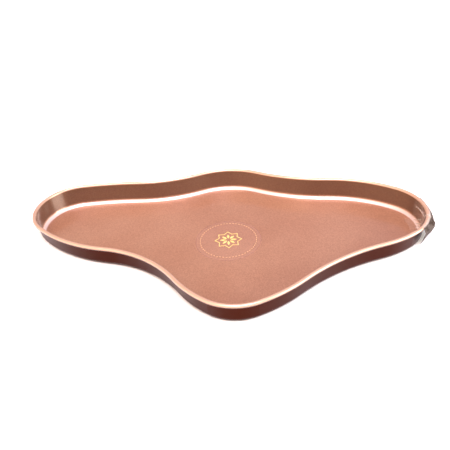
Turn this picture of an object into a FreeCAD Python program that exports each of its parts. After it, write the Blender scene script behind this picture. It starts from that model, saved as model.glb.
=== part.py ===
"""Lobed copper-lacquered metal tray with a rolled rim, a round centre label and a strip of tape on one end.

The tray is a pressed sheet. Its outline is a free four-lobed shape made of fourteen tangent arcs. Each
lobe has a tip circle, three of the tips have a broader shoulder arc on either side, and a concave waist
arc joins each lobe to the next. The outline is the centre line of the rolled rim, seen from above.

Frame: +Z up, +X along the length, the origin on the resting plane under the centre of the label.
"""
import FreeCAD, Part
import math
import os

import Sketcher

V = FreeCAD.Vector

# Driving dimensions in millimetres and degrees. A lobe's tip is a circle, given by its centre and radius. A
# shoulder is a larger circle that the tip circle touches from inside, in the given direction from the tip's
# centre: "in" is the shoulder before the tip and "out" the one after it, going anticlockwise.
SIZES = {
    # lobe towards the front
    "front_x": 5.0, "front_y": -72.5, "front_rad": 46.5,
    "front_in_rad": 109.0, "front_in_deg": -128.0, "front_out_rad": 151.0, "front_out_deg": -69.0,
    # lobe at the right end
    "right_x": 147.5, "right_y": -0.5, "right_rad": 47.5,
    "right_in_rad": 108.0, "right_in_deg": -58.0, "right_out_rad": 132.0, "right_out_deg": 50.0,
    # lobe towards the back, which has no shoulders
    "back_x": -0.5, "back_y": 29.5, "back_rad": 73.5,
    # lobe at the left end
    "left_x": -155.0, "left_y": 47.0, "left_rad": 45.5,
    "left_in_rad": 359.0, "left_in_deg": 93.0, "left_out_rad": 144.5, "left_out_deg": -139.0,
    # concave waists, each named after the lobe it follows
    "front_waist": 204.0, "right_waist": 190.0, "back_waist": 149.0, "left_waist": 116.0,
    # pressed sheet: gauge, overall height, rolled rim, and the cove between floor and wall
    "sheet": 0.8, "high": 24.0, "bead_rad": 2.0, "cove_rad": 5.0, "cove_inset": 8.5, "curl_end_deg": -115.0,
    # wire in the rolled rim, and its clearance in the curl
    "wire_gap": 0.05,
    # round label: clear film and the foil printed on it
    "film_rad": 33.0, "film_thick": 0.12, "foil_thick": 0.08,
    "dash_ring": 28.3, "dash_long": 1.8, "dash_wide": 0.8, "dash_count": 56,
    "star_out": 14.0, "star_in": 10.2, "star_line": 1.1,
    "petal_out": 8.4, "petal_in": 2.2, "petal_wide": 2.4,
    # tape folded over the rim at the right end, its edges measured from the rim's centre line
    "tape_deg": 60.0, "tape_mid_deg": -15.0, "tape_thick": 0.3, "tape_gap": 0.15,
    "tape_floor": 14.0, "tape_flap_out": 4.5, "tape_flap_up": 14.0, "tape_tail_up": 3.0,
}
LOBES = ("front", "right", "back", "left")
STAR_POINTS = 8
START, END, CENTRE = 1, 2, 3
ORIGIN = (-1, 1)

doc = FreeCAD.newDocument("tray")
sizes = doc.addObject("Spreadsheet::Sheet", "sizes")


def fill_sheet():
    """Write each driving dimension into the sheet, one a row, with its name as the alias."""
    for row, (name, value) in enumerate(SIZES.items(), start=1):
        sizes.set(f"A{row}", name)
        sizes.set(f"B{row}", str(value))
        sizes.setAlias(f"B{row}", name)
    doc.recompute()


def size(name):
    """Read a driving dimension back from the sheet."""
    return float(getattr(sizes, name))


def polar(radius, degrees):
    """Return the point at a radius and direction from the origin."""
    angle = math.radians(degrees)
    return V(radius * math.cos(angle), radius * math.sin(angle), 0)


# ---- the outline as circles --------------------------------------------------------------------------

def lobe_circles(lobe):
    """Return a lobe's circles as (part, centre, radius), anticlockwise: its shoulder, tip and shoulder."""
    centre = V(size(lobe + "_x"), size(lobe + "_y"), 0)
    radius = size(lobe + "_rad")
    circles = [("", centre, radius)]
    for side, place in (("in", 0), ("out", 2)):
        if f"{lobe}_{side}_rad" in SIZES:
            wide = size(f"{lobe}_{side}_rad")
            offset = polar(radius - wide, size(f"{lobe}_{side}_deg"))
            circles.insert(place, (side, centre + offset, wide))
    return circles


def waist_centre(first, second, radius):
    """Return the centre of a circle outside two others that touches both."""
    (_, start, start_rad), (_, finish, finish_rad) = first, second
    gap = finish - start
    span = gap.Length
    along = (span**2 + (start_rad + radius)**2 - (finish_rad + radius)**2) / (2 * span)
    across = math.sqrt((start_rad + radius)**2 - along**2)
    unit = gap / span
    return start + unit * along + V(unit.y, -unit.x, 0) * across


def outline_circles():
    """Return every circle as (lobe, part, centre, radius), anticlockwise from the front lobe."""
    lobes = [lobe_circles(lobe) for lobe in LOBES]
    circles = []
    for index, lobe in enumerate(LOBES):
        circles += [(lobe, *circle) for circle in lobes[index]]
        following = lobes[(index + 1) % len(lobes)]
        radius = size(lobe + "_waist")
        circles.append((lobe, "waist", waist_centre(lobes[index][-1], following[0], radius), radius))
    return circles


def joint(first, second):
    """Return the point where two neighbouring circles of the outline touch."""
    (_, part, centre, radius), (_, next_part, next_centre, next_radius) = first, second
    unit = (next_centre - centre).normalize()
    if "waist" in (part, next_part):
        return centre + unit * radius
    if radius > next_radius:
        return next_centre + unit * next_radius
    return centre - unit * radius


# ---- sketches ----------------------------------------------------------------------------------------

def new_body(name):
    """Start a sub-part's body."""
    body = doc.addObject("PartDesign::Body", name)
    body.Label = name
    return body


def new_sketch(body, name, plane):
    """Add a sketch on one of the body's own origin planes."""
    sketch = body.newObject("Sketcher::SketchObject", name)
    support = next(item for item in body.Origin.OriginFeatures if item.Role == plane)
    sketch.AttachmentSupport = [(support, "")]
    sketch.MapMode = "FlatFace"
    return sketch


def name_size(sketch, index, name, expression):
    """Name a dimension of a sketch and bind it to the sheet."""
    sketch.renameConstraint(index, name)
    sketch.setExpression(f"Constraints.{name}", expression)


def place_point(sketch, point, name, across, up, across_rule, up_rule):
    """Hold a point of a sketch at a place worked out from the sheet."""
    index = sketch.addConstraint(Sketcher.Constraint("DistanceX", *ORIGIN, *point, across))
    name_size(sketch, index, name + "_x", across_rule)
    index = sketch.addConstraint(Sketcher.Constraint("DistanceY", *ORIGIN, *point, up))
    name_size(sketch, index, name + "_y", up_rule)


def draw_outline(sketch, inset_rule, inset):
    """Draw the tray's outline in a sketch, moved inwards by an inset.

    Every arc keeps its centre and changes its radius, so neighbours still touch. The joint beside each
    shoulder is held across the tray, and the touching arcs settle the rest.
    """
    circles = outline_circles()
    count = len(circles)
    for index, circle in enumerate(circles):
        _, part, centre, radius = circle
        before = joint(circles[index - 1], circle)
        after = joint(circle, circles[(index + 1) % count])
        scale = 1 + inset / radius if part == "waist" else 1 - inset / radius
        start, finish = [centre + (point - centre) * scale for point in (before, after)]
        middle = centre + ((start + finish) / 2 - centre).normalize() * radius * scale
        sketch.addGeometry(Part.Arc(start, middle, finish), False)
    for index, (lobe, part, centre, radius) in enumerate(circles):
        following = (index + 1) % count
        turned = part == "waist"
        finish = START if turned else END
        begin = END if circles[following][1] == "waist" else START
        sketch.addConstraint(Sketcher.Constraint("Tangent", index, finish, following, begin))
        name = "_".join(word for word in (lobe, part) if word)
        rule = f"sizes.{lobe}_waist + {inset_rule}" if turned else f"sizes.{name}_rad - {inset_rule}"
        drawn = radius + inset if turned else radius - inset
        number = sketch.addConstraint(Sketcher.Constraint("Radius", index, drawn))
        name_size(sketch, number, name + "_rad", rule)
        if part == "":
            rules = (f"sizes.{lobe}_x", f"sizes.{lobe}_y")
            place_point(sketch, (index, CENTRE), name, centre.x, centre.y, *rules)
        elif not turned:
            tip, end = (index + 1, END) if part == "in" else (index - 1, START)
            tip_rad = size(lobe + "_rad") - inset
            across = polar(tip_rad, size(f"{name}_deg")).x
            number = sketch.addConstraint(Sketcher.Constraint("DistanceX", tip, CENTRE, index, end, across))
            rule = f"(sizes.{lobe}_rad - {inset_rule}) * cos(sizes.{name}_deg * 1 deg)"
            name_size(sketch, number, name + "_joint", rule)


def add_outline(body, name, inset_rule="0", inset=0.0):
    """Add the tray's outline to a body as a level sketch, moved inwards by an inset."""
    sketch = new_sketch(body, name, "XY_Plane")
    draw_outline(sketch, inset_rule, inset)
    return sketch


def new_section(body, name):
    """Add an upright sketch whose origin is under the rim's centre line, at the right end of the tray."""
    sketch = new_sketch(body, name, "XZ_Plane")
    sketch.setExpression("AttachmentOffset.Base.x", "sizes.right_x + sizes.right_rad")
    sketch.setExpression("AttachmentOffset.Base.z", "-sizes.right_y")
    return sketch


def sweep(body, name, section, path):
    """Sweep an upright section along the whole of an outline sketch."""
    pipe = body.newObject("PartDesign::AdditivePipe", name)
    pipe.Profile = section
    pipe.Spine = (path, [f"Edge{number}" for number in range(1, path.GeometryCount + 1)])
    return pipe


def pad(body, name, sketch, length_rule):
    """Pad a sketch by a length from the sheet."""
    feature = body.newObject("PartDesign::Pad", name)
    feature.Profile = sketch
    feature.setExpression("Length", length_rule)
    return feature


def arc(centre, radius, start, finish):
    """Return an anticlockwise arc between two directions."""
    circle = Part.Circle(centre, V(0, 0, 1), radius)
    return Part.ArcOfCircle(circle, math.radians(start), math.radians(finish))


# ---- pressed shell -----------------------------------------------------------------------------------

def wall_lean(cove, bead):
    """Return the lean, in degrees from upright, of a wall between the cove and the bead.

    The wall touches the cove on the side away from the tray's middle, and the bead on the other.
    """
    gap = bead - cove
    reach = size("cove_rad") + size("bead_rad")
    return math.degrees(math.acos(reach / gap.Length) - math.atan2(gap.y, gap.x))


def draw_wall(sketch):
    """Draw the sheet's section: the cove, the leaning wall and the rim curled outwards and down."""
    sheet = size("sheet")
    cove_rad = size("cove_rad")
    bead_rad = size("bead_rad")
    curl_end = size("curl_end_deg")
    cove = V(-size("cove_inset"), sheet + cove_rad, 0)
    bead = V(0, size("high") - bead_rad, 0)
    lean = wall_lean(cove, bead)
    top = 180 - lean
    outside = (cove + polar(cove_rad + sheet, -lean), bead + polar(bead_rad - sheet, top))
    inside = (bead + polar(bead_rad, top), cove + polar(cove_rad, -lean))
    lip = (bead + polar(bead_rad - sheet, curl_end), bead + polar(bead_rad, curl_end))
    foot = (V(cove.x, sheet, 0), V(cove.x, 0, 0))
    outer_cove = sketch.addGeometry(arc(cove, cove_rad + sheet, -90, -lean), False)
    outer_wall = sketch.addGeometry(Part.LineSegment(*outside), False)
    inner_curl = sketch.addGeometry(arc(bead, bead_rad - sheet, curl_end, top), False)
    curl_lip = sketch.addGeometry(Part.LineSegment(*lip), False)
    outer_curl = sketch.addGeometry(arc(bead, bead_rad, curl_end, top), False)
    inner_wall = sketch.addGeometry(Part.LineSegment(*inside), False)
    inner_cove = sketch.addGeometry(arc(cove, cove_rad, -90, -lean), False)
    floor_end = sketch.addGeometry(Part.LineSegment(*foot), False)
    sketch.addConstraint([
        Sketcher.Constraint("Tangent", outer_cove, END, outer_wall, START),
        Sketcher.Constraint("Tangent", outer_wall, END, inner_curl, END),
        Sketcher.Constraint("Tangent", outer_curl, END, inner_wall, START),
        Sketcher.Constraint("Tangent", inner_wall, END, inner_cove, END),
        Sketcher.Constraint("Coincident", inner_curl, START, curl_lip, START),
        Sketcher.Constraint("Coincident", curl_lip, END, outer_curl, START),
        Sketcher.Constraint("Coincident", inner_cove, START, floor_end, START),
        Sketcher.Constraint("Coincident", floor_end, END, outer_cove, START),
        Sketcher.Constraint("Coincident", inner_curl, CENTRE, outer_curl, CENTRE),
        Sketcher.Constraint("Coincident", inner_cove, CENTRE, outer_cove, CENTRE),
        Sketcher.Constraint("Vertical", inner_cove, START, inner_cove, CENTRE),
        Sketcher.Constraint("Vertical", outer_cove, START, outer_cove, CENTRE),
        Sketcher.Constraint("PointOnObject", outer_curl, CENTRE, curl_lip),
        Sketcher.Constraint("Vertical", *ORIGIN, outer_curl, CENTRE),
    ])
    rules = ("-sizes.cove_inset", "sizes.sheet + sizes.cove_rad")
    place_point(sketch, (outer_cove, CENTRE), "cove", cove.x, cove.y, *rules)
    for geometry, radius, name, rule in (
        (outer_cove, cove_rad + sheet, "outer_cove", "sizes.cove_rad + sizes.sheet"),
        (inner_cove, cove_rad, "inner_cove", "sizes.cove_rad"),
        (outer_curl, bead_rad, "outer_curl", "sizes.bead_rad"),
        (inner_curl, bead_rad - sheet, "inner_curl", "sizes.bead_rad - sizes.sheet"),
    ):
        index = sketch.addConstraint(Sketcher.Constraint("Radius", geometry, radius))
        name_size(sketch, index, name, rule)
    index = sketch.addConstraint(Sketcher.Constraint("DistanceY", *ORIGIN, outer_curl, CENTRE, bead.y))
    name_size(sketch, index, "bead_up", "sizes.high - sizes.bead_rad")
    across = polar(bead_rad, curl_end).x
    span = ("DistanceX", outer_curl, CENTRE, outer_curl, START)
    index = sketch.addConstraint(Sketcher.Constraint(*span, across))
    name_size(sketch, index, "lip_across", "sizes.bead_rad * cos(sizes.curl_end_deg * 1 deg)")


def tray_shell():
    """Make the pressed sheet: a flat floor with a wall swept round it."""
    body = new_body("tray_shell")
    floor_line = add_outline(body, "floor_line", "sizes.cove_inset", size("cove_inset"))
    pad(body, "floor", floor_line, "sizes.sheet")
    rim_line = add_outline(body, "rim_line")
    section = new_section(body, "wall_section")
    draw_wall(section)
    sweep(body, "wall", section, rim_line)


def rim_wire():
    """Make the round wire that the rim is rolled over."""
    body = new_body("rim_wire")
    path = add_outline(body, "wire_line")
    section = new_section(body, "wire_section")
    up = size("high") - size("bead_rad")
    radius = size("bead_rad") - size("sheet") - size("wire_gap")
    circle = section.addGeometry(Part.Circle(V(0, up, 0), V(0, 0, 1), radius), False)
    section.addConstraint(Sketcher.Constraint("Vertical", *ORIGIN, circle, CENTRE))
    index = section.addConstraint(Sketcher.Constraint("DistanceY", *ORIGIN, circle, CENTRE, up))
    name_size(section, index, "wire_up", "sizes.high - sizes.bead_rad")
    index = section.addConstraint(Sketcher.Constraint("Radius", circle, radius))
    name_size(section, index, "wire_rad", "sizes.bead_rad - sizes.sheet - sizes.wire_gap")
    sweep(body, "wire", section, path)


# ---- label -------------------------------------------------------------------------------------------

def label_film():
    """Make the clear round film stuck to the floor."""
    body = new_body("label_film")
    sketch = new_sketch(body, "film_line", "XY_Plane")
    sketch.setExpression("AttachmentOffset.Base.z", "sizes.sheet")
    circle = sketch.addGeometry(Part.Circle(V(0, 0, 0), V(0, 0, 1), size("film_rad")), False)
    sketch.addConstraint(Sketcher.Constraint("Coincident", *ORIGIN, circle, CENTRE))
    index = sketch.addConstraint(Sketcher.Constraint("Radius", circle, size("film_rad")))
    name_size(sketch, index, "film_rad", "sizes.film_rad")
    pad(body, "film", sketch, "sizes.film_thick")


def loop_of(points):
    """Return a closed wire through level points."""
    return Part.makePolygon([*points, points[0]])


def star_points(radius, ratio):
    """Return the corners of an even star: points at a radius, notches at a share of it."""
    corners = []
    for step in range(2 * STAR_POINTS):
        reach = radius if step % 2 == 0 else radius * ratio
        corners.append(polar(reach, step * 180 / STAR_POINTS))
    return corners


def foil_shapes():
    """Return the foil's islands as flat faces: a ring of dashes, a star's outline and petals inside it."""
    faces = []
    ring = size("dash_ring")
    half_long, half_wide = size("dash_long") / 2, size("dash_wide") / 2
    count = round(size("dash_count"))
    dash = loop_of([V(ring - half_wide, -half_long, 0), V(ring + half_wide, -half_long, 0),
                    V(ring + half_wide, half_long, 0), V(ring - half_wide, half_long, 0)])
    petal_in, petal_out, side = size("petal_in"), size("petal_out"), size("petal_wide") / 2
    middle = (petal_in + petal_out) / 2
    petal = Part.Wire([
        Part.Arc(V(petal_in, 0, 0), V(middle, -side, 0), V(petal_out, 0, 0)).toShape(),
        Part.Arc(V(petal_out, 0, 0), V(middle, side, 0), V(petal_in, 0, 0)).toShape(),
    ])
    for wire, copies in ((dash, count), (petal, STAR_POINTS)):
        for step in range(copies):
            face = Part.Face(wire)
            face.rotate(V(0, 0, 0), V(0, 0, 1), step * 360 / copies)
            faces.append(face)
    ratio = size("star_in") / size("star_out")
    outer = Part.Face(loop_of(star_points(size("star_out"), ratio)))
    inner = Part.Face(loop_of(star_points(size("star_out") - size("star_line"), ratio)))
    faces.append(outer.cut(inner))
    return faces


def label_print():
    """Make the printed foil: many flat islands, which no one sketch feature makes as one sub-part."""
    solids = [face.extrude(V(0, 0, size("foil_thick"))) for face in foil_shapes()]
    foil = doc.addObject("Part::Feature", "label_print")
    foil.Label = "label_print"
    foil.Shape = Part.makeCompound(solids)
    foil.Placement = FreeCAD.Placement(V(0, 0, size("sheet") + size("film_thick")), FreeCAD.Rotation())


# ---- tape --------------------------------------------------------------------------------------------

def tape_profile():
    """Return the tape's section as one closed wire: its inner face, then its outer face back again.

    The tape lies on the floor, climbs the cove and wall, goes over the bead, stands off as a flap and comes
    back in under it. Both faces are the same route at different distances from the sheet.
    """
    sheet, cove_rad, bead_rad = size("sheet"), size("cove_rad"), size("bead_rad")
    cove = V(-size("cove_inset"), sheet + cove_rad, 0)
    bead = V(0, size("high") - bead_rad, 0)
    lean = wall_lean(cove, bead)
    flap = V(size("tape_flap_out"), size("tape_flap_up"), 0)
    tail = V(0, size("tape_tail_up"), 0)
    faces = []
    for off in (size("tape_gap"), size("tape_gap") + size("tape_thick")):
        over = bead_rad + off
        under = cove_rad - off
        floor = V(-size("tape_floor"), sheet + off, 0)
        foot = V(cove.x, sheet + off, 0)
        leave = bead + polar(over, 0)
        out = flap + V(off, 0, 0)
        edges = [
            Part.LineSegment(floor, foot),
            arc(cove, under, -90, -lean),
            Part.LineSegment(cove + polar(under, -lean), bead + polar(over, 180 - lean)),
            arc(bead, over, 0, 180 - lean),
            Part.LineSegment(leave, out),
            Part.LineSegment(out, tail + V(off, 0, 0)),
        ]
        faces.append(edges)
    near, far = faces
    ends = [
        Part.LineSegment(near[0].StartPoint, far[0].StartPoint),
        Part.LineSegment(near[-1].EndPoint, far[-1].EndPoint),
    ]
    return Part.Wire(Part.__sortEdges__([edge.toShape() for edge in near + far + ends]))


def tape_strip():
    """Make the strip of clear tape: its section turned about the right lobe's centre."""
    section = Part.Face(tape_profile())
    section.rotate(V(0, 0, 0), V(1, 0, 0), 90)
    section.translate(V(size("right_rad"), 0, 0))
    half = size("tape_deg") / 2
    section.rotate(V(0, 0, 0), V(0, 0, 1), size("tape_mid_deg") - half)
    tape = doc.addObject("Part::Feature", "tape_strip")
    tape.Label = "tape_strip"
    tape.Shape = section.revolve(V(0, 0, 0), V(0, 0, 1), size("tape_deg"))
    tape.Placement = FreeCAD.Placement(V(size("right_x"), size("right_y"), 0), FreeCAD.Rotation())


# ---- document ----------------------------------------------------------------------------------------

def check_document():
    """Stop on any object that failed to recompute."""
    for item in doc.Objects:
        if "Invalid" in item.State or "Error" in item.State:
            raise RuntimeError(f"{item.Name} failed: {item.State}")


def export_parts():
    """Check each sub-part's shape and write it to a file of its own."""
    os.makedirs("parts", exist_ok=True)
    for item in doc.Objects:
        if item.TypeId not in ("PartDesign::Body", "Part::Feature"):
            continue
        shape = item.Shape
        if shape.isNull() or not shape.isValid():
            raise RuntimeError(f"{item.Label} has no valid shape")
        shape.exportStep(f"parts/{item.Label}.step")
        print(f"{item.Label}: {len(shape.Solids)} solid(s), {shape.Volume:.0f} mm3, {shape.BoundBox}")


fill_sheet()
tray_shell()
rim_wire()
label_film()
label_print()
tape_strip()
doc.recompute()
check_document()
export_parts()
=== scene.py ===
"""Looks of a lobed copper-coloured serving tray with a rolled rim, a round foil label and tape on one end.

Lengths are in millimetres where a name ends in _mm and in metres elsewhere. The pressed shell, the rim wire
and the label's foil come from the frame and get their finishes here. The label's clear film and the crinkled
strip of tape are built here.
"""

import logging
import math
import random
from dataclasses import dataclass, field
from enum import Enum

import bpy
from mathutils import Matrix, Vector, noise


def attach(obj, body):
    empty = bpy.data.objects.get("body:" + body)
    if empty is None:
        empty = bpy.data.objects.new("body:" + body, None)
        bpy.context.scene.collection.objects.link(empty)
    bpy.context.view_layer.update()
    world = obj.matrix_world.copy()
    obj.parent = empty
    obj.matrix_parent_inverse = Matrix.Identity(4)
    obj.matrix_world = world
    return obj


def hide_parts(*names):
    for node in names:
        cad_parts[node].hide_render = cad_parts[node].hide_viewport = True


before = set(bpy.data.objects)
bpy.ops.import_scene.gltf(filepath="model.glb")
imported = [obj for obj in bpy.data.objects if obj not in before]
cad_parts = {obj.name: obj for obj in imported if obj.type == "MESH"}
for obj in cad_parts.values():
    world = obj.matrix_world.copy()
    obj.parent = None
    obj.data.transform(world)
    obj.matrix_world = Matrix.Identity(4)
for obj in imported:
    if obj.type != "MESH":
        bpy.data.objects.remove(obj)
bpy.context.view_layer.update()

LOG = logging.getLogger("tray")
MM = 0.001
BODY = "root"
BLACK = (0.0, 0.0, 0.0, 1.0)
PER_METRE = 1000  # over a pattern's size in millimetres, its scale
MIX_A, MIX_B, MIX_OUT = 6, 7, 2  # the colour sockets of a mix node
FOLDED, LOOSE = "folded", "loose"  # what the tape's mesh says about each of its points


class Slot(Enum):
    """The record's material slots."""

    SHELL = "shell_lacquer"
    WIRE = "rim_steel"
    FILM = "label_clear"
    FOIL = "label_foil"
    TAPE = "tape_clear"


# ---- small helpers -------------------------------------------------------------------------------

def linear(code: str, alpha: float = 1.0) -> tuple[float, float, float, float]:
    """Turn an sRGB hex colour into linear light.

    Args:
        code: The colour, such as "#C08060".
        alpha: The fourth value.

    Returns:
        Red, green, blue and alpha.
    """
    parts = [int(code[start:start + 2], 16) / 255 for start in (1, 3, 5)]
    light = [part / 12.92 if part <= 0.04045 else ((part + 0.055) / 1.055) ** 2.4 for part in parts]
    return (light[0], light[1], light[2], alpha)


def add_node(tree: bpy.types.NodeTree, kind: str, inputs: dict | None = None,
             **settings: object) -> bpy.types.Node:
    """Add a node with its settings, values and links.

    Args:
        tree: The node tree.
        kind: The node's type name.
        inputs: Each input's name or number, and a plain value or the output socket that feeds it.
        **settings: The node's own properties.

    Returns:
        The new node.
    """
    node = tree.nodes.new(kind)
    for name, value in settings.items():
        setattr(node, name, value)
    for name, value in (inputs or {}).items():
        if isinstance(value, bpy.types.NodeSocket):
            tree.links.new(value, node.inputs[name])
        else:
            node.inputs[name].default_value = value
    return node


def set_ramp(ramp: bpy.types.Node, stops: list[tuple[float, tuple]]) -> None:
    """Give a colour ramp its stops.

    Args:
        ramp: The colour ramp node.
        stops: Each stop's place and colour, in order.
    """
    elements = ramp.color_ramp.elements
    for extra in range(len(stops) - len(elements)):
        elements.new(0.5 + 0.01 * extra)
    for element, (place, colour) in zip(elements, stops):
        element.position = place
        element.color = colour


def new_material(name: str) -> tuple[bpy.types.Material, bpy.types.NodeTree, bpy.types.Node]:
    """Start a material whose surface is one principled shader.

    Args:
        name: The material's name.

    Returns:
        The material, its node tree and the shader node.
    """
    material = bpy.data.materials.new(name)
    material.use_nodes = True
    tree = material.node_tree
    tree.nodes.clear()
    shader = add_node(tree, "ShaderNodeBsdfPrincipled")
    add_node(tree, "ShaderNodeOutputMaterial", {"Surface": shader.outputs["BSDF"]})
    return material, tree, shader


def dress(node: str, material: bpy.types.Material) -> None:
    """Give a frame node one finish all over.

    Args:
        node: The node's name.
        material: Its finish.
    """
    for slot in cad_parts[node].material_slots:
        slot.material = material


# ---- finishes ------------------------------------------------------------------------------------

@dataclass(frozen=True)
class CopperLacquer:
    """Metallic baking lacquer, sprayed over pressed steel: a satin rose copper under a hard gloss."""

    face: str = "#AB7C61"
    deep: str = "#A47358"
    # Painted highlight: rim is the pale colour of the rolled rim's top.
    rim: str = "#C8A087"
    # Painted highlight: cove is the pale colour of the band round the floor.
    cove: str = "#DCC0B6"
    # Painted shade: back is the outside's very dark colour, standing in for the dark surroundings it
    # reflects.
    back: str = "#3A1203"
    # Painted shade: thin is how much of the copper's colour is left on a steep wall, darkened for shade.
    thin: float = 0.36  # how much of the copper's colour is left on a steep wall
    steep: tuple[float, float] = (0.1, 0.4)  # the normal's upward part, from wall to cove
    lean: float = 0.07  # the upward part either side of plumb where the outside's colour fades out
    cloud_mm: float = 70.0
    fleck_mm: float = 0.9
    sparkle: tuple[float, float] = (0.84, 1.16)
    peel_mm: float = 5.0
    peel_deep_mm: float = 0.2
    metal: float = 0.4
    rough: float = 0.38
    coat: float = 1.0
    coat_rough: float = 0.15
    outside_shade_top_mm: tuple[float, float] = (21.0, 21.8)  # heights, as are the next two
    rim_mm: tuple[float, float] = (21.6, 22.8)
    cove_mm: tuple[float, float, float, float] = (0.85, 1.3, 2.8, 4.2)

    def build(self) -> bpy.types.Material:
        """Make the lacquer.

        Returns:
            The material.
        """
        material, tree, shader = new_material("copper_lacquer_sprayed")
        place = add_node(tree, "ShaderNodeTexCoord").outputs["Object"]
        # The colour drifts a little over the floor, where the spray was thicker.
        cloud = add_node(tree, "ShaderNodeTexNoise", {
            "Vector": place, "Scale": PER_METRE / self.cloud_mm, "Detail": 2.0})
        tone = add_node(tree, "ShaderNodeValToRGB", {"Fac": cloud.outputs["Fac"]})
        set_ramp(tone, [(0.35, linear(self.deep)), (0.65, linear(self.face))])
        # Aluminium flecks twinkle one by one. Real ones are about 0.05 mm and are drawn coarser, to show.
        fleck = add_node(tree, "ShaderNodeTexVoronoi", {"Vector": place, "Scale": PER_METRE / self.fleck_mm})
        sparkle = add_node(tree, "ShaderNodeMapRange", {
            "Value": fleck.outputs["Color"], "To Min": self.sparkle[0], "To Max": self.sparkle[1]})
        glitter = add_node(tree, "ShaderNodeMix", {
            0: 1.0, MIX_A: tone.outputs["Color"], MIX_B: sparkle.outputs["Result"]},
            data_type="RGBA", blend_type="MULTIPLY")
        facing = add_node(tree, "ShaderNodeNewGeometry").outputs["Normal"]
        upward = add_node(tree, "ShaderNodeSeparateXYZ", {"Vector": facing}).outputs["Z"]
        # Painted shade: the steep walls are coloured darker, standing in for the shade that falls on them.
        steep = add_node(tree, "ShaderNodeMapRange", {
            "Value": upward, "From Min": self.steep[0], "From Max": self.steep[1], "To Min": self.thin})
        wall_shaded = add_node(tree, "ShaderNodeMix", {
            0: 1.0, MIX_A: glitter.outputs[MIX_OUT], MIX_B: steep.outputs["Result"]},
            data_type="RGBA", blend_type="MULTIPLY")
        # Painted shade: the outside and underside are coloured very dark, standing in for the dark
        # surroundings they reflect. They are the faces that lean downwards, up to a soft line just over the
        # rim.
        faces_up = add_node(tree, "ShaderNodeMapRange", {
            "Value": upward, "From Min": -self.lean, "From Max": self.lean}, interpolation_type="SMOOTHSTEP")
        height = add_node(tree, "ShaderNodeSeparateXYZ", {"Vector": place}).outputs["Z"]
        on_rim = add_node(tree, "ShaderNodeMapRange", {
            "Value": height, "From Min": self.outside_shade_top_mm[0] * MM, "From Max": self.outside_shade_top_mm[1] * MM},
            interpolation_type="SMOOTHSTEP")
        inside = add_node(tree, "ShaderNodeMath", {
            0: faces_up.outputs["Result"], 1: on_rim.outputs["Result"]}, operation="MAXIMUM")
        # Painted highlight: the cove round the floor is coloured paler, so it shows as a bright line.
        cove_start = add_node(tree, "ShaderNodeMapRange", {
            "Value": height, "From Min": self.cove_mm[0] * MM, "From Max": self.cove_mm[1] * MM},
            interpolation_type="SMOOTHSTEP")
        cove_end = add_node(tree, "ShaderNodeMapRange", {
            "Value": height, "From Min": self.cove_mm[2] * MM, "From Max": self.cove_mm[3] * MM,
            "To Min": 1.0, "To Max": 0.0}, interpolation_type="SMOOTHSTEP")
        in_cove = add_node(tree, "ShaderNodeMath", {
            0: cove_start.outputs["Result"], 1: cove_end.outputs["Result"]}, operation="MULTIPLY")
        pressed = add_node(tree, "ShaderNodeMix", {
            0: in_cove.outputs["Value"], MIX_A: wall_shaded.outputs[MIX_OUT], MIX_B: linear(self.cove)},
            data_type="RGBA")
        # Painted highlight: the top of the rolled rim is coloured paler in the same way.
        rim_highlight = add_node(tree, "ShaderNodeMapRange", {
            "Value": height, "From Min": self.rim_mm[0] * MM, "From Max": self.rim_mm[1] * MM},
            interpolation_type="SMOOTHSTEP")
        copper = add_node(tree, "ShaderNodeMix", {
            0: rim_highlight.outputs["Result"], MIX_A: pressed.outputs[MIX_OUT], MIX_B: linear(self.rim)},
            data_type="RGBA")
        colour = add_node(tree, "ShaderNodeMix", {
            0: inside.outputs["Value"], MIX_A: linear(self.back), MIX_B: copper.outputs[MIX_OUT]},
            data_type="RGBA")
        # Sprayed lacquer dries with a faint orange peel, which wavers the edges of the reflections.
        peel = add_node(tree, "ShaderNodeTexNoise", {
            "Vector": place, "Scale": PER_METRE / self.peel_mm, "Detail": 3.0})
        bump = add_node(tree, "ShaderNodeBump", {
            "Strength": 0.08, "Distance": self.peel_deep_mm * MM, "Height": peel.outputs["Fac"]})
        # Flakes in a binder are part metal, part matt. The outside with its painted shade is fully metal, and
        # only the inside has the clear top coat.
        metal = add_node(tree, "ShaderNodeMapRange", {
            "Value": inside.outputs["Value"], "To Min": 1.0, "To Max": self.metal})
        coat = add_node(tree, "ShaderNodeMapRange", {"Value": inside.outputs["Value"], "To Max": self.coat})
        tree.links.new(colour.outputs[MIX_OUT], shader.inputs["Base Color"])
        tree.links.new(bump.outputs["Normal"], shader.inputs["Normal"])
        tree.links.new(coat.outputs["Result"], shader.inputs["Coat Weight"])
        tree.links.new(metal.outputs["Result"], shader.inputs["Metallic"])
        shader.inputs["Roughness"].default_value = self.rough
        shader.inputs["Coat Roughness"].default_value = self.coat_rough
        return material


@dataclass(frozen=True)
class DrawnWire:
    """Bright mild steel wire, drawn through a die: grey and finely scratched."""

    face: str = "#9A9A9E"
    line_mm: float = 0.3
    line_deep_mm: float = 0.05
    rough: float = 0.3

    def build(self) -> bpy.types.Material:
        """Make the wire's steel.

        Returns:
            The material.
        """
        material, tree, shader = new_material("mild_steel_drawn")
        place = add_node(tree, "ShaderNodeTexCoord").outputs["Object"]
        # Scratches from the die mark the surface, so it's never quite a mirror.
        lines = add_node(tree, "ShaderNodeTexNoise", {
            "Vector": place, "Scale": PER_METRE / self.line_mm, "Detail": 2.0})
        bump = add_node(tree, "ShaderNodeBump", {
            "Strength": 0.2, "Distance": self.line_deep_mm * MM, "Height": lines.outputs["Fac"]})
        tree.links.new(bump.outputs["Normal"], shader.inputs["Normal"])
        shader.inputs["Base Color"].default_value = linear(self.face)
        shader.inputs["Metallic"].default_value = 1.0
        shader.inputs["Roughness"].default_value = self.rough
        return material


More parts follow.
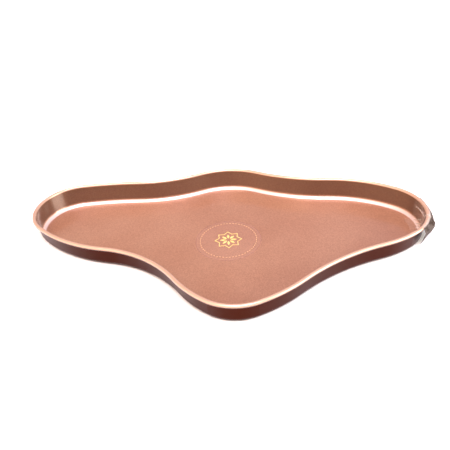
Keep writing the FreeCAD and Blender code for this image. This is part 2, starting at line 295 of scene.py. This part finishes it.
@dataclass(frozen=True)
class LabelFilm:
    """Clear polyester label stock, die cut: nearly invisible, but its cut edge shows as a thin line."""

    tint: str = "#D9B3AC"
    # Painted shade: edge is the dark colour of the film's cut edge, standing in for its shade.
    edge: str = "#7A4638"
    radius_mm: float = 33.0
    edge_mm: float = 0.7
    clear: float = 0.04
    edge_cover: float = 0.6
    rough: float = 0.18

    def build(self) -> bpy.types.Material:
        """Make the label's film.

        Returns:
            The material.
        """
        material, tree, shader = new_material("polyester_film_clear")
        place = add_node(tree, "ShaderNodeTexCoord").outputs["Object"]
        level = add_node(tree, "ShaderNodeVectorMath", {0: place, 1: (1.0, 1.0, 0.0)}, operation="MULTIPLY")
        reach = add_node(tree, "ShaderNodeVectorMath", {0: level.outputs["Vector"]}, operation="LENGTH")
        # Painted shade: the film is coloured dark at its cut edge, a line as wide as the eye can just see.
        rim = add_node(tree, "ShaderNodeMapRange", {
            "Value": reach.outputs["Value"], "From Min": (self.radius_mm - self.edge_mm) * MM,
            "From Max": self.radius_mm * MM})
        colour = add_node(tree, "ShaderNodeMix", {
            0: rim.outputs["Result"], MIX_A: linear(self.tint), MIX_B: linear(self.edge)}, data_type="RGBA")
        cover = add_node(tree, "ShaderNodeMapRange", {
            "Value": rim.outputs["Result"], "To Min": self.clear, "To Max": self.edge_cover})
        tree.links.new(colour.outputs[MIX_OUT], shader.inputs["Base Color"])
        tree.links.new(cover.outputs["Result"], shader.inputs["Alpha"])
        shader.inputs["Roughness"].default_value = self.rough
        return material


@dataclass(frozen=True)
class GoldFoil:
    """Hot stamped gold foil: bright yellow metal with a slightly broken surface."""

    face: str = "#F3CE6E"
    pale: str = "#FFE9A6"
    worn: str = "#DDAE86"
    worn_mm: float = 26.0
    break_mm: float = 1.0
    break_deep_mm: float = 0.05
    metal: float = 0.4
    rough: float = 0.35

    def build(self) -> bpy.types.Material:
        """Make the foil.

        Returns:
            The material.
        """
        material, tree, shader = new_material("gold_foil_stamped")
        place = add_node(tree, "ShaderNodeTexCoord").outputs["Object"]
        # The die presses harder in some places than in others, and the foil is paler there.
        press = add_node(tree, "ShaderNodeTexNoise", {
            "Vector": place, "Scale": PER_METRE / self.break_mm, "Detail": 2.0})
        tone = add_node(tree, "ShaderNodeValToRGB", {"Fac": press.outputs["Fac"]})
        set_ramp(tone, [(0.35, linear(self.face)), (0.7, linear(self.pale))])
        # The thin dashes round the outside took less foil, and the copper shows through them.
        level = add_node(tree, "ShaderNodeVectorMath", {0: place, 1: (1.0, 1.0, 0.0)}, operation="MULTIPLY")
        reach = add_node(tree, "ShaderNodeVectorMath", {0: level.outputs["Vector"]}, operation="LENGTH")
        outer = add_node(tree, "ShaderNodeMapRange", {
            "Value": reach.outputs["Value"], "From Min": (self.worn_mm - 1) * MM,
            "From Max": self.worn_mm * MM})
        colour = add_node(tree, "ShaderNodeMix", {
            0: outer.outputs["Result"], MIX_A: tone.outputs["Color"], MIX_B: linear(self.worn)},
            data_type="RGBA")
        bump = add_node(tree, "ShaderNodeBump", {
            "Strength": 0.25, "Distance": self.break_deep_mm * MM, "Height": press.outputs["Fac"]})
        tree.links.new(colour.outputs[MIX_OUT], shader.inputs["Base Color"])
        tree.links.new(bump.outputs["Normal"], shader.inputs["Normal"])
        shader.inputs["Metallic"].default_value = self.metal
        shader.inputs["Roughness"].default_value = self.rough
        return material


@dataclass(frozen=True)
class PackingTape:
    """Stretched polypropylene tape with clear adhesive: nearly unseen where flat, white along its folds."""

    tint: str = "#F4E4DA"
    # Painted shade: the loose flap's dark colour.
    flap_shade: str = "#2A1F18"
    clear: float = 0.03
    fold_white_and_glint: float = 0.8
    shade_alpha: float = 1.0
    patch: tuple[float, float] = (0.9, 1.0)  # how dark the flap's painted shade is, from the least to the most
    crease_mm: float = 6.0
    crease_deep_mm: float = 0.3
    rough: float = 0.45
    gloss: float = 0.02

    def build(self) -> bpy.types.Material:
        """Make the tape's film.

        Returns:
            The material.
        """
        material, tree, shader = new_material("polypropylene_tape_clear")
        place = add_node(tree, "ShaderNodeTexCoord").outputs["Object"]
        # Fine creases between the big folds break up what shine there is.
        crease = add_node(tree, "ShaderNodeTexNoise", {
            "Vector": place, "Scale": PER_METRE / self.crease_mm, "Detail": 3.0, "Distortion": 0.6})
        bump = add_node(tree, "ShaderNodeBump", {
            "Strength": 0.35, "Distance": self.crease_deep_mm * MM, "Height": crease.outputs["Fac"]})
        # Stretched film turns white along a sharp fold; the white also stands in for glints on the creases, a
        # painted highlight.
        folded = add_node(tree, "ShaderNodeAttribute", attribute_name=FOLDED).outputs["Fac"]
        # Painted shade: the loose flap is coloured dark and nearly opaque, in patches, for the dark seen
        # through it.
        loose = add_node(tree, "ShaderNodeAttribute", attribute_name=LOOSE).outputs["Fac"]
        patches = add_node(tree, "ShaderNodeMapRange", {
            "Value": crease.outputs["Fac"], "From Min": 0.3, "From Max": 0.7,
            "To Min": self.patch[0], "To Max": self.patch[1]})
        flap_shade_mask = add_node(tree, "ShaderNodeMath", {
            0: loose, 1: patches.outputs["Result"]}, operation="MULTIPLY")
        colour = add_node(tree, "ShaderNodeMix", {
            0: flap_shade_mask.outputs["Value"], MIX_A: linear(self.tint), MIX_B: linear(self.flap_shade)}, data_type="RGBA")
        white = add_node(tree, "ShaderNodeMapRange", {
            "Value": folded, "To Min": self.clear, "To Max": self.fold_white_and_glint})
        shade_cover = add_node(tree, "ShaderNodeMapRange", {
            "Value": flap_shade_mask.outputs["Value"], "To Max": self.shade_alpha})
        cover = add_node(tree, "ShaderNodeMath", {
            0: white.outputs["Result"], 1: shade_cover.outputs["Result"]}, operation="MAXIMUM")
        tree.links.new(colour.outputs[MIX_OUT], shader.inputs["Base Color"])
        tree.links.new(bump.outputs["Normal"], shader.inputs["Normal"])
        tree.links.new(cover.outputs["Value"], shader.inputs["Alpha"])
        shader.inputs["Roughness"].default_value = self.rough
        shader.inputs["Specular IOR Level"].default_value = self.gloss
        return material


@dataclass(frozen=True)
class StudioPaper:
    """Matt white background paper, rolled: even, with a barely visible tooth."""

    face: str = "#F6F5F3"
    tooth_mm: float = 1.5
    tooth_deep_mm: float = 0.1
    rough: float = 0.9

    def build(self) -> bpy.types.Material:
        """Make the paper.

        Returns:
            The material.
        """
        material, tree, shader = new_material("background_paper_matt")
        place = add_node(tree, "ShaderNodeTexCoord").outputs["Object"]
        tooth = add_node(tree, "ShaderNodeTexNoise", {"Vector": place, "Scale": PER_METRE / self.tooth_mm})
        bump = add_node(tree, "ShaderNodeBump", {
            "Strength": 0.05, "Distance": self.tooth_deep_mm * MM, "Height": tooth.outputs["Fac"]})
        tree.links.new(bump.outputs["Normal"], shader.inputs["Normal"])
        shader.inputs["Base Color"].default_value = linear(self.face)
        shader.inputs["Roughness"].default_value = self.rough
        return material


# ---- the tray ------------------------------------------------------------------------------------

@dataclass
class PressedTray:
    """The pressed shell and the wire in its rolled rim."""

    lacquer: CopperLacquer = field(default_factory=CopperLacquer)
    wire: DrawnWire = field(default_factory=DrawnWire)

    def build(self) -> None:
        """Finish the shell and the wire."""
        dress("tray_shell", self.lacquer.build())
        dress("rim_wire", self.wire.build())
        LOG.info("tray: shell lacquered, wire finished")


@dataclass
class RoundLabel:
    """The clear round label and the foil printed on it.

    The film is a thin disc with its cut edge rounded down to the floor, as a die leaves it.
    """

    film: LabelFilm = field(default_factory=LabelFilm)
    foil: GoldFoil = field(default_factory=GoldFoil)
    under_mm: float = 0.82
    thick_mm: float = 0.09
    rounded: float = 0.02  # the share of the radius over which the edge comes down
    rings: int = 40
    spokes: int = 128

    def disc(self) -> bpy.types.Object:
        """Build the film.

        Returns:
            The film's object.
        """
        centre = Vector((0.0, 0.0, self.under_mm + self.thick_mm))
        points = [centre * MM]
        for ring in range(1, self.rings + 1):
            share = ring / self.rings
            drop = self.thick_mm * max(0.0, 1 - (1 - share) / self.rounded) ** 2
            for spoke in range(self.spokes):
                turn = math.tau * spoke / self.spokes
                reach = self.film.radius_mm * share
                place = Vector((reach * math.cos(turn), reach * math.sin(turn), centre.z - drop))
                points.append(place * MM)
        faces: list[tuple[int, ...]] = []
        for spoke in range(self.spokes):
            following = (spoke + 1) % self.spokes
            faces.append((0, 1 + spoke, 1 + following))
            for ring in range(self.rings - 1):
                start = 1 + ring * self.spokes
                faces.append((start + spoke, start + self.spokes + spoke,
                              start + self.spokes + following, start + following))
        mesh = bpy.data.meshes.new("label_disc")
        mesh.from_pydata(points, [], faces)
        mesh.polygons.foreach_set("use_smooth", [True] * len(mesh.polygons))
        mesh.materials.append(self.film.build())
        disc = bpy.data.objects.new("label_disc", mesh)
        bpy.context.scene.collection.objects.link(disc)
        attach(disc, BODY)
        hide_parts("label_film")
        return disc

    def build(self) -> None:
        """Build the film and finish the foil."""
        self.disc()
        dress("label_print", self.foil.build())
        LOG.info("label: film built, foil finished")


@dataclass(frozen=True)
class Fold:
    """One sharp fold in the tape: a ridge between two places, each a direction and a share of the route."""

    start: tuple[float, float]
    end: tuple[float, float]
    height_mm: float
    width_mm: float


@dataclass
class RimTape:
    """The crinkled strip of clear tape folded over the rim at the right end.

    It is a grid: one way round the right lobe's tip, the other way along the section, from the floor up the
    inside, over the bead and down the outside, where it stands off as a loose flap.
    """

    tip_mm: tuple[float, float] = (147.5, -0.5)
    rim_mm: float = 47.5
    first_deg: float = -47.0
    last_deg: float = 19.0
    sheet_mm: float = 0.8
    cove_mm: float = 5.0
    inset_mm: float = 8.5
    bead_mm: float = 2.0
    top_mm: float = 24.0
    lean_deg: float = 5.19
    lift_mm: float = 0.25  # how far the film stands off the sheet
    film_mm: float = 0.06
    start_mm: float = 14.0  # how far in from the rim the strip starts on the floor
    over_deg: float = 25.0  # where the film leaves the bead
    flap_mm: float = 2.2
    bulges: tuple[tuple[float, float, float], ...] = ((2.8, -26.0, 7.0), (1.0, 1.0, 6.0))  # out, place, width
    hang_mm: tuple[float, float, float] = (18.0, 10.0, 4.6)  # the heights of the flap's bends and tail
    wave_mm: float = 0.35
    jag_deg: float = 0.15
    waver_deg: float = 1.2
    white_mm: float = 0.5
    flap_shade_mm: tuple[float, float] = (0.9, 2.2)
    folds: tuple[Fold, ...] = (
        Fold((14.0, 0.42), (-20.0, 0.50), 1.8, 1.6),
        Fold((10.0, 0.16), (-6.0, 0.33), 1.0, 1.0),
        Fold((2.0, 0.14), (-12.0, 0.30), 0.9, 0.9),
        Fold((-8.0, 0.10), (-16.0, 0.36), 1.1, 1.0),
        Fold((-22.0, 0.40), (-24.0, 0.95), 1.2, 0.9),
        Fold((-34.0, 0.12), (-40.0, 0.34), 0.8, 1.2),
        Fold((-5.0, 0.62), (-30.0, 0.90), 1.3, 1.6),
    )
    columns: int = 96
    rows: int = 120
    seed: int = 7
    tape: PackingTape = field(default_factory=PackingTape)

    def flap_reach(self, degrees: float) -> float:
        """Return how far the loose flap stands out from the rim's centre line, in millimetres.

        Args:
            degrees: The place round the lobe's tip.

        Returns:
            The distance, which bulges where the flap is bent into a corner.
        """
        bulge = sum(out * math.exp(-((degrees - place) / width) ** 2) for out, place, width in self.bulges)
        return self.bead_mm + self.flap_mm + bulge

    def route(self, degrees: float) -> list[tuple[float, float]]:
        """Return the section's route at one place, as outward and upward distances in millimetres.

        Args:
            degrees: The place round the lobe's tip.

        Returns:
            The route's corners, from the floor to the flap's tail.
        """
        points = [(-self.start_mm, self.sheet_mm + self.lift_mm)]
        cove = (-self.inset_mm, self.sheet_mm + self.cove_mm)
        under = self.cove_mm - self.lift_mm
        for step in range(9):
            turn = math.radians(-90 + (90 - self.lean_deg) * step / 8)
            points.append((cove[0] + under * math.cos(turn), cove[1] + under * math.sin(turn)))
        bead_up = self.top_mm - self.bead_mm
        over = self.bead_mm + self.lift_mm
        for step in range(13):
            turn = math.radians(180 - self.lean_deg - (180 - self.over_deg - self.lean_deg) * step / 12)
            points.append((over * math.cos(turn), bead_up + over * math.sin(turn)))
        out = self.flap_reach(degrees)
        return points + list(zip((out, 0.7 * out, 0.4 * out - 0.6), self.hang_mm))

    def walk(self, points: list[tuple[float, float]]) -> list[tuple[Vector, Vector]]:
        """Return evenly spaced places along a route, each with the direction away from the sheet.

        Args:
            points: The route's corners.

        Returns:
            The places and their directions, as many as the strip has rows.
        """
        corners = [Vector(point) for point in points]
        runs = [(b - a).length for a, b in zip(corners, corners[1:])]
        total = sum(runs)
        places = []
        index, behind = 0, 0.0
        for step in range(self.rows):
            along = total * step / (self.rows - 1)
            while index < len(runs) - 1 and behind + runs[index] < along:
                behind += runs[index]
                index += 1
            way = corners[index + 1] - corners[index]
            place = corners[index] + way * ((along - behind) / runs[index])
            away = Vector((-way.y, way.x)).normalized()
            places.append((place, away))
        return places

    def looseness(self, place: Vector) -> float:
        """Return how loose the film is at a place on the section, from 0 on the tray to 1 on the flap.

        Args:
            place: Outward distance from the rim's centre line and height, in millimetres.

        Returns:
            How loose it is.
        """
        if place.x > -self.bead_mm and place.y < self.top_mm - 2 * self.bead_mm:
            return 1.0
        # The flap's painted shade comes in over this outward span.
        start, end = self.flap_shade_mm
        return min(1.0, max(0.0, (place.x - start) / (end - start)))

    def crumple(self, degrees: float, along: float, length: float) -> tuple[float, float]:
        """Return how far the film stands off the route in millimetres, and how sharply it is folded.

        Args:
            degrees: The place round the lobe's tip.
            along: The place along the route, from 0 to 1.
            length: The route's whole length in millimetres.

        Returns:
            The height of the folds there, with a slow wave between them, and the sharpness from 0 to 1.
        """
        spot = Vector((math.radians(degrees) * self.rim_mm, along * length))
        wave = noise.noise(Vector((spot.x * 0.13, spot.y * 0.13, float(self.seed))))
        height = self.wave_mm * max(0.0, wave)
        sharp = 0.0
        for fold in self.folds:
            start, end = [Vector((math.radians(turn) * self.rim_mm, share * length))
                          for turn, share in (fold.start, fold.end)]
            way = end - start
            share = min(1.0, max(0.0, (spot - start).dot(way) / way.length_squared))
            distance = (spot - start - way * share).length
            taper = math.sin(math.pi * (0.15 + 0.7 * share))
            height += fold.height_mm * math.exp(-distance / fold.width_mm) * taper
            broken = 0.65 + 0.7 * noise.noise(Vector((spot.x * 0.4, spot.y * 0.4, 3.0)))
            sharp = max(sharp, math.exp(-(distance / self.white_mm) ** 2) * taper * broken)
        return height, min(1.0, max(0.0, sharp))

    def build(self) -> bpy.types.Object:
        """Build the strip.

        Returns:
            The strip's object.
        """
        points: list[Vector] = []
        folded: list[float] = []
        loose: list[float] = []
        edge = random.Random(self.seed)
        for column in range(self.columns):
            degrees = self.first_deg + (self.last_deg - self.first_deg) * column / (self.columns - 1)
            jag = edge.uniform(-self.jag_deg, self.jag_deg)
            route = self.route(degrees)
            length = sum((Vector(b) - Vector(a)).length for a, b in zip(route, route[1:]))
            for step, (place, away) in enumerate(self.walk(route)):
                along = step / (self.rows - 1)
                height, sharp = self.crumple(degrees + jag, along, length)
                folded.append(sharp)
                loose.append(self.looseness(place))
                place = place + away * height
                waver = noise.noise(Vector((along * 6, self.seed, column * 0.02)))
                turn = math.radians(degrees + self.waver_deg * waver)
                reach = self.rim_mm + place.x
                x = self.tip_mm[0] + reach * math.cos(turn)
                y = self.tip_mm[1] + reach * math.sin(turn)
                points.append(Vector((x, y, place.y)) * MM)
        faces = []
        for column in range(self.columns - 1):
            for step in range(self.rows - 1):
                corner = column * self.rows + step
                faces.append((corner, corner + self.rows, corner + self.rows + 1, corner + 1))
        mesh = bpy.data.meshes.new("rim_tape")
        mesh.from_pydata(points, [], faces)
        mesh.polygons.foreach_set("use_smooth", [True] * len(mesh.polygons))
        for name, values in ((FOLDED, folded), (LOOSE, loose)):
            mesh.attributes.new(name, "FLOAT", "POINT").data.foreach_set("value", values)
        mesh.materials.append(self.tape.build())
        strip = bpy.data.objects.new("rim_tape", mesh)
        bpy.context.scene.collection.objects.link(strip)
        film = strip.modifiers.new("film", "SOLIDIFY")
        film.thickness = self.film_mm * MM
        film.offset = 0.0
        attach(strip, BODY)
        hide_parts("tape_strip")
        LOG.info("tape: %d points", len(points))
        return strip


# ---- the studio ----------------------------------------------------------------------------------

@dataclass(frozen=True)
class Softbox:
    """One soft rectangular light, aimed at the tray."""

    name: str
    place: tuple[float, float, float]
    size: tuple[float, float]
    watts: float
    colour: str

    def build(self) -> None:
        """Make the light."""
        data = bpy.data.lights.new(self.name, "AREA")
        data.shape = "RECTANGLE"
        data.size, data.size_y = self.size
        data.energy = self.watts
        data.color = linear(self.colour)[:3]
        light = bpy.data.objects.new(self.name, data)
        light.location = self.place
        light.rotation_euler = (-Vector(self.place)).to_track_quat("-Z", "Y").to_euler()
        bpy.context.scene.collection.objects.link(light)


@dataclass(frozen=True)
class Window:
    """One bright patch of the room with a soft edge, round a direction."""

    towards: tuple[float, float, float]
    inner_deg: float
    outer_deg: float
    colour: str
    strength: float

    def light(self) -> tuple[float, float, float, float]:
        """Return the patch's colour at its strength."""
        red, green, blue, _ = linear(self.colour)
        return (red * self.strength, green * self.strength, blue * self.strength, 1.0)


@dataclass
class Studio:
    """The camera, the pale floor and the lights."""

    eye_mm: tuple[float, float, float] = (0.0, -443.8, 330.5)
    aim_mm: tuple[float, float, float] = (-2.3, 26.4, 0.8)
    roll_deg: float = -4.77
    lens_mm: float = 44.0
    floor_size: float = 6.0
    floor_cells: int = 24
    paper: StudioPaper = field(default_factory=StudioPaper)
    front: tuple[tuple[float, str], ...] = ((0.0, "#605C5E"), (0.5, "#686466"), (0.8, "#B4B4BC"))
    back: tuple[tuple[float, str], ...] = (
        (0.0, "#C0C0CC"), (0.5, "#BCBDCC"), (0.65, "#C8C6C4"), (0.85, "#D2D2E6"))
    left: str = "#FFEBD6"
    right: str = "#F0ECFF"
    windows: tuple[Window, ...] = (
        Window((0.0, -0.42, 0.91), 14.0, 28.0, "#FAF8FF", 14.0),
        Window((-0.85, -0.45, 0.28), 0.0, 48.0, "#FFEFE2", 2.4),
    )
    lights: tuple[Softbox, ...] = (
        Softbox("warm_side", (1.6, -0.7, 0.55), (1.1, 0.75), 42.0, "#F6F0E4"),
    )

    def camera(self) -> None:
        """Set up the camera: level with its aim, then rolled about its own axis."""
        data = bpy.data.cameras.new("camera")
        data.lens = self.lens_mm
        data.clip_start = 0.01
        eye = Vector(self.eye_mm) * MM
        forward = (Vector(self.aim_mm) * MM - eye).normalized()
        right = forward.cross(Vector((0, 0, 1))).normalized()
        up = right.cross(forward)
        roll = math.radians(self.roll_deg)
        tilted_right = right * math.cos(roll) + up * math.sin(roll)
        tilted_up = up * math.cos(roll) - right * math.sin(roll)
        turn = Matrix((tilted_right, tilted_up, -forward)).transposed()
        camera = bpy.data.objects.new("camera", data)
        camera.matrix_world = Matrix.Translation(eye) @ turn.to_4x4()
        bpy.context.scene.collection.objects.link(camera)
        bpy.context.scene.camera = camera

    def floor(self) -> None:
        """Lay the paper that the tray stands on, as a flat grid."""
        count = self.floor_cells
        lines = [self.floor_size * (step / count - 0.5) for step in range(count + 1)]
        points = [(across, along, 0.0) for along in lines for across in lines]
        faces = []
        for row in range(count):
            for column in range(count):
                corner = row * (count + 1) + column
                faces.append((corner, corner + 1, corner + count + 2, corner + count + 1))
        mesh = bpy.data.meshes.new("floor_paper")
        mesh.from_pydata(points, [], faces)
        mesh.materials.append(self.paper.build())
        sheet = bpy.data.objects.new("floor_paper", mesh)
        bpy.context.scene.collection.objects.link(sheet)

    def room(self) -> None:
        """Fill the room with soft light: dim in front of the tray, paler behind it, with bright windows."""
        world = bpy.data.worlds.new("studio")
        world.use_nodes = True
        tree = world.node_tree
        tree.nodes.clear()
        towards = add_node(tree, "ShaderNodeTexCoord").outputs["Generated"]
        way = add_node(tree, "ShaderNodeSeparateXYZ", {"Vector": towards})
        # Both sides of the room are brighter overhead than at the horizon.
        sides = []
        for stops in (self.front, self.back):
            ramp = add_node(tree, "ShaderNodeValToRGB", {"Fac": way.outputs["Z"]})
            set_ramp(ramp, [(place, linear(colour)) for place, colour in stops])
            sides.append(ramp.outputs["Color"])
        depth = add_node(tree, "ShaderNodeMapRange", {
            "Value": way.outputs["Y"], "From Min": -0.2, "From Max": 0.2})
        wall = add_node(tree, "ShaderNodeMix", {
            0: depth.outputs["Result"], MIX_A: sides[0], MIX_B: sides[1]}, data_type="RGBA")
        shade = wall.outputs[MIX_OUT]
        # The windows are bright patches with soft edges, each round its own direction.
        for window in self.windows:
            near = add_node(tree, "ShaderNodeVectorMath", {
                0: towards, 1: Vector(window.towards).normalized()}, operation="DOT_PRODUCT")
            reach = add_node(tree, "ShaderNodeMapRange", {
                "Value": near.outputs["Value"], "From Min": math.cos(math.radians(window.outer_deg)),
                "From Max": math.cos(math.radians(window.inner_deg))}, interpolation_type="SMOOTHSTEP")
            bright = add_node(tree, "ShaderNodeMix", {
                0: reach.outputs["Result"], MIX_A: BLACK, MIX_B: window.light()}, data_type="RGBA")
            added = add_node(tree, "ShaderNodeMix", {
                0: 1.0, MIX_A: shade, MIX_B: bright.outputs[MIX_OUT]}, data_type="RGBA", blend_type="ADD")
            shade = added.outputs[MIX_OUT]
        # The light is a little warmer from the left and cooler from the right.
        side = add_node(tree, "ShaderNodeMapRange", {
            "Value": way.outputs["X"], "From Min": -0.35, "From Max": 0.35})
        tint = add_node(tree, "ShaderNodeMix", {
            0: side.outputs["Result"], MIX_A: linear(self.left), MIX_B: linear(self.right)}, data_type="RGBA")
        tinted = add_node(tree, "ShaderNodeMix", {
            0: 1.0, MIX_A: shade, MIX_B: tint.outputs[MIX_OUT]}, data_type="RGBA", blend_type="MULTIPLY")
        light = add_node(tree, "ShaderNodeBackground", {"Color": tinted.outputs[MIX_OUT], "Strength": 1.0})
        add_node(tree, "ShaderNodeOutputWorld", {"Surface": light.outputs["Background"]})
        bpy.context.scene.world = world

    def build(self) -> None:
        """Set up the whole studio."""
        self.camera()
        self.floor()
        self.room()
        for light in self.lights:
            light.build()
        bpy.context.scene.view_settings.view_transform = "Standard"
        LOG.info("studio: %d lights", len(self.lights))


def main() -> None:
    """Build everything in order."""
    logging.basicConfig(level=logging.INFO, format="%(name)s: %(message)s")
    Studio().build()
    PressedTray().build()
    RoundLabel().build()
    RimTape().build()


if __name__ == "__main__":
    main()
